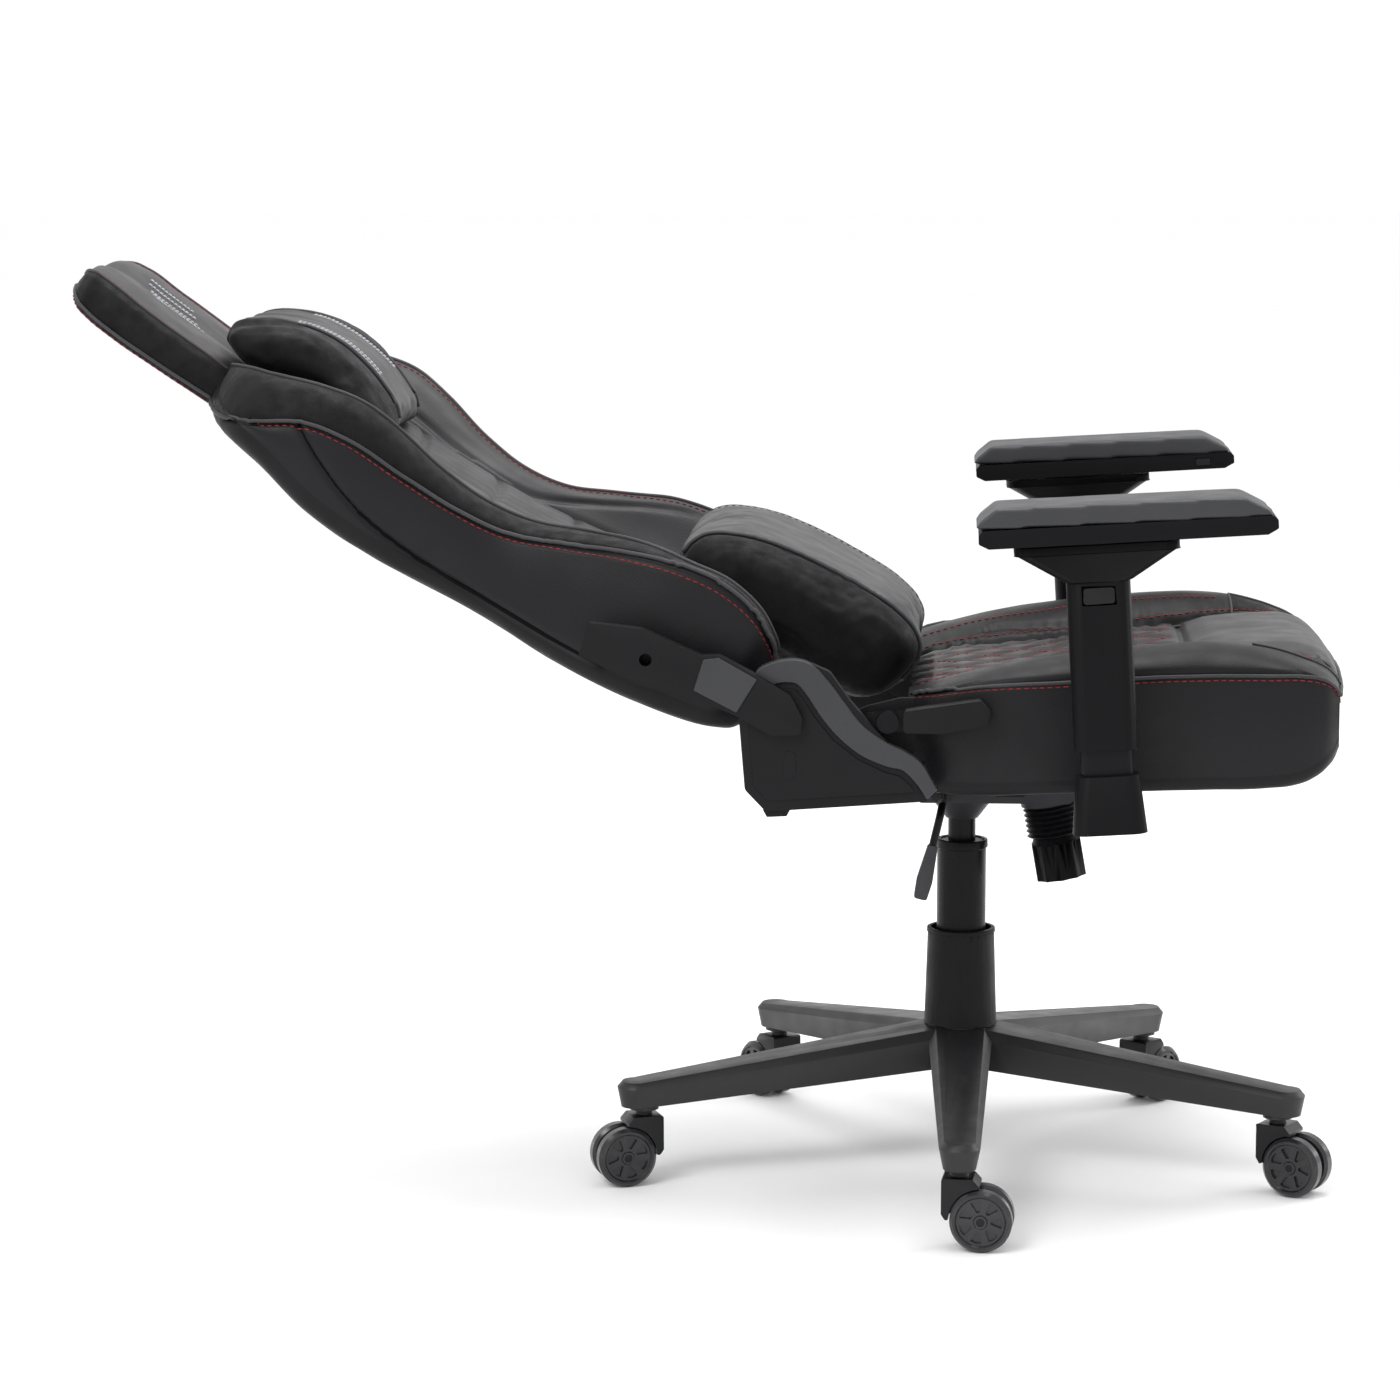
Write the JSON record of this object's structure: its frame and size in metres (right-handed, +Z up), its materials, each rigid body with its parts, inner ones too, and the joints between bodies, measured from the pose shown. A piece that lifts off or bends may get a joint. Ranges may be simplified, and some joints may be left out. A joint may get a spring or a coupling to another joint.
{
  "type": "gaming chair",
  "caption": "Reclining swivel chair with bucket seat, winged backrest, loose pillows, adjustable arms, gas lift and star base on twin-wheel casters.",
  "frame": {"origin": "on the floor, on the axis of the gas lift", "axes": "+X the way the sitter faces, +Y the sitter's left, +Z up"},
  "size_m": [1.2628, 0.764, 0.9164],
  "materials": {
    "frame_plastic": "satin",
    "cover_plastic": "matte",
    "arm_plastic": "satin",
    "caster_plastic": "satin",
    "wheel_tread": "satin",
    "black_steel": "satin",
    "bright_steel": "satin",
    "housing_metal": "satin",
    "badge_metal": "satin",
    "seat_leather": "satin",
    "pillow_velvet": "matte",
    "pad_soft": "satin"
  },
  "bodies": {
    "base": {"star_base": "frame_plastic", "caster_sockets": "cover_plastic", "gas_lift_cylinder": "black_steel", "gas_lift_bush": "cover_plastic", "column_cover": "cover_plastic"},
    "piston": {"gas_lift_piston": "bright_steel"},
    "mechanism": {"mechanism_housing": "housing_metal", "mechanism_pivot_rod": "black_steel", "tension_spring": "bright_steel", "spring_bellows": "cover_plastic"},
    "lever_slide": {"lever_socket": "cover_plastic"},
    "lift_lever": {"lift_lever_rod": "black_steel", "lift_lever_grip": "cover_plastic"},
    "seat": {"seat_mount_plate": "black_steel", "seat_bolts": "bright_steel", "seat_frame": "black_steel", "seat_cushion": "seat_leather", "seat_bolsters": "seat_leather", "recliner_seat_plates": "black_steel", "hinge_covers": "cover_plastic", "recliner_cross_rod": "black_steel", "arm_posts": "black_steel", "arm_boots": "cover_plastic", "tension_bolt": "bright_steel"},
    "tension_knob": {"tension_knob": "cover_plastic"},
    "recline_lever": {"recline_lever": "black_steel", "recline_lever_grip": "cover_plastic"},
    "backrest": {"back_frame": "black_steel", "back_cushion": "seat_leather", "back_wings": "seat_leather", "headrest": "seat_leather", "recliner_back_plates": "black_steel", "recliner_bolts": "bright_steel", "back_hinge_covers": "cover_plastic", "back_badge": "badge_metal"},
    "head_pillow": {"head_pillow": "pillow_velvet"},
    "lumbar_pillow": {"lumbar_pillow": "pillow_velvet"},
    "caster_1": {"caster_fork_1": "caster_plastic"},
    "wheels_1": {"caster_wheels_1": "wheel_tread"},
    "caster_2": {"caster_fork_2": "caster_plastic"},
    "wheels_2": {"caster_wheels_2": "wheel_tread"},
    "caster_3": {"caster_fork_3": "caster_plastic"},
    "wheels_3": {"caster_wheels_3": "wheel_tread"},
    "caster_4": {"caster_fork_4": "caster_plastic"},
    "wheels_4": {"caster_wheels_4": "wheel_tread"},
    "caster_5": {"caster_fork_5": "caster_plastic"},
    "wheels_5": {"caster_wheels_5": "wheel_tread"},
    "arm_right": {"arm_sleeve_right": "arm_plastic"},
    "arm_key_right": {"height_button_right": "cover_plastic"},
    "arm_turn_right": {"pad_turntable_right": "arm_plastic"},
    "pad_right": {"pad_base_right": "arm_plastic", "pad_top_right": "pad_soft"},
    "pad_key_right": {"pad_button_right": "cover_plastic"},
    "arm_left": {"arm_sleeve_left": "arm_plastic"},
    "arm_key_left": {"height_button_left": "cover_plastic"},
    "arm_turn_left": {"pad_turntable_left": "arm_plastic"},
    "pad_left": {"pad_base_left": "arm_plastic", "pad_top_left": "pad_soft"},
    "pad_key_left": {"pad_button_left": "cover_plastic"}
  },
  "joints": [
    {"name": "lift_slide", "type": "slide", "parent": "base", "child": "piston", "axis": [0, 0, 1], "range_m": [0, 0.08]},
    {"name": "seat_swivel", "type": "hinge", "parent": "piston", "child": "mechanism", "pos_m": [0, 0, 0.38], "axis": [0, 0, 1], "continuous": true},
    {"name": "tilt_lock", "type": "slide", "parent": "mechanism", "child": "lever_slide", "axis": [0, -1, 0], "range_m": [0, 0.008]},
    {"name": "lift_lever_pull", "type": "hinge", "parent": "lever_slide", "child": "lift_lever", "pos_m": [-0.02, -0.0555, 0.395], "axis": [-1, 0, 0], "range_deg": [0, 5], "stiffness_Nm_per_rad": 1.5, "springref_deg": -14.32},
    {"name": "seat_tilt", "type": "hinge", "parent": "mechanism", "child": "seat", "pos_m": [0.048, 0, 0.404], "axis": [0, -1, 0], "range_deg": [0, 10], "stiffness_Nm_per_rad": 250, "springref_deg": -28.65, "deforming": ["tension_spring", "spring_bellows"]},
    {"name": "tension_turn", "type": "hinge", "parent": "seat", "child": "tension_knob", "pos_m": [0.087, 0, 0.386], "axis": [-0.1736, 0, 0.9848], "range_deg": [-720, 720]},
    {"name": "recline_release", "type": "hinge", "parent": "seat", "child": "recline_lever", "pos_m": [-0.086, -0.277, 0.499], "axis": [0, -1, 0], "range_deg": [0, 32], "stiffness_Nm_per_rad": 0.6, "springref_deg": -34.38},
    {"name": "back_recline", "type": "hinge", "parent": "seat", "child": "backrest", "pos_m": [-0.162, 0, 0.508], "axis": [0, 1, 0], "range_deg": [0, 60]},
    {"name": "head_pillow_slide", "type": "slide", "parent": "backrest", "child": "head_pillow", "axis": [-0.8788, 0, 0.4772], "range_m": [-0.1, 0.02]},
    {"name": "lumbar_pillow_slide", "type": "slide", "parent": "backrest", "child": "lumbar_pillow", "axis": [-0.8788, 0, 0.4772], "range_m": [0, 0.08]},
    {"name": "caster_swivel_1", "type": "hinge", "parent": "base", "child": "caster_1", "pos_m": [0, -0.335, 0.085], "axis": [0, 0, 1], "continuous": true},
    {"name": "caster_roll_1", "type": "hinge", "parent": "caster_1", "child": "wheels_1", "pos_m": [0.02192, -0.33692, 0.03], "axis": [0.0872, 0.9962, 0], "continuous": true},
    {"name": "caster_swivel_2", "type": "hinge", "parent": "base", "child": "caster_2", "pos_m": [0.3186, -0.10352, 0.085], "axis": [0, 0, 1], "continuous": true},
    {"name": "caster_roll_2", "type": "hinge", "parent": "caster_2", "child": "wheels_2", "pos_m": [0.33803, -0.11385, 0.03], "axis": [0.4695, 0.8829, 0], "continuous": true},
    {"name": "caster_swivel_3", "type": "hinge", "parent": "base", "child": "caster_3", "pos_m": [0.19691, 0.27102, 0.085], "axis": [0, 0, 1], "continuous": true},
    {"name": "caster_roll_3", "type": "hinge", "parent": "caster_3", "child": "wheels_3", "pos_m": [0.20953, 0.28904, 0.03], "axis": [-0.8192, 0.5736, 0], "continuous": true},
    {"name": "caster_swivel_4", "type": "hinge", "parent": "base", "child": "caster_4", "pos_m": [-0.19691, 0.27102, 0.085], "axis": [0, 0, 1], "continuous": true},
    {"name": "caster_roll_4", "type": "hinge", "parent": "caster_4", "child": "wheels_4", "pos_m": [-0.20953, 0.28904, 0.03], "axis": [-0.8192, -0.5736, 0], "continuous": true},
    {"name": "caster_swivel_5", "type": "hinge", "parent": "base", "child": "caster_5", "pos_m": [-0.3186, -0.10352, 0.085], "axis": [0, 0, 1], "continuous": true},
    {"name": "caster_roll_5", "type": "hinge", "parent": "caster_5", "child": "wheels_5", "pos_m": [-0.33928, -0.11105, 0.03], "axis": [0.342, -0.9397, 0], "continuous": true},
    {"name": "arm_height_right", "type": "slide", "parent": "seat", "child": "arm_right", "axis": [-0.061, 0, 0.9981], "range_m": [0, 0.07]},
    {"name": "height_key_right", "type": "slide", "parent": "arm_right", "child": "arm_key_right", "axis": [0, 1, 0], "range_m": [0, 0.0025], "stiffness_N_per_m": 400, "springref_m": -0.003},
    {"name": "pad_swivel_right", "type": "hinge", "parent": "arm_right", "child": "arm_turn_right", "pos_m": [0.12213, -0.336, 0.67951], "axis": [-0.061, 0, 0.9981], "range_deg": [-20, 20]},
    {"name": "pad_slide_right", "type": "slide", "parent": "arm_turn_right", "child": "pad_right", "axis": [0.9981, 0, 0.061], "range_m": [-0.025, 0.025]},
    {"name": "pad_key_press_right", "type": "slide", "parent": "pad_right", "child": "pad_key_right", "axis": [0, -1, 0], "range_m": [0, 0.002], "stiffness_N_per_m": 400, "springref_m": -0.003},
    {"name": "arm_height_left", "type": "slide", "parent": "seat", "child": "arm_left", "axis": [-0.061, 0, 0.9981], "range_m": [0, 0.07]},
    {"name": "height_key_left", "type": "slide", "parent": "arm_left", "child": "arm_key_left", "axis": [0, -1, 0], "range_m": [0, 0.0025], "stiffness_N_per_m": 400, "springref_m": -0.003},
    {"name": "pad_swivel_left", "type": "hinge", "parent": "arm_left", "child": "arm_turn_left", "pos_m": [0.12213, 0.336, 0.67951], "axis": [-0.061, 0, 0.9981], "range_deg": [-20, 20]},
    {"name": "pad_slide_left", "type": "slide", "parent": "arm_turn_left", "child": "pad_left", "axis": [0.9981, 0, 0.061], "range_m": [-0.025, 0.025]},
    {"name": "pad_key_press_left", "type": "slide", "parent": "pad_left", "child": "pad_key_left", "axis": [0, 1, 0], "range_m": [0, 0.002], "stiffness_N_per_m": 400, "springref_m": -0.003}
  ],
  "couplings": [
    {"joint": "lumbar_pillow_slide", "follows": "back_recline", "m_per_rad": 0.0668}
  ]
}
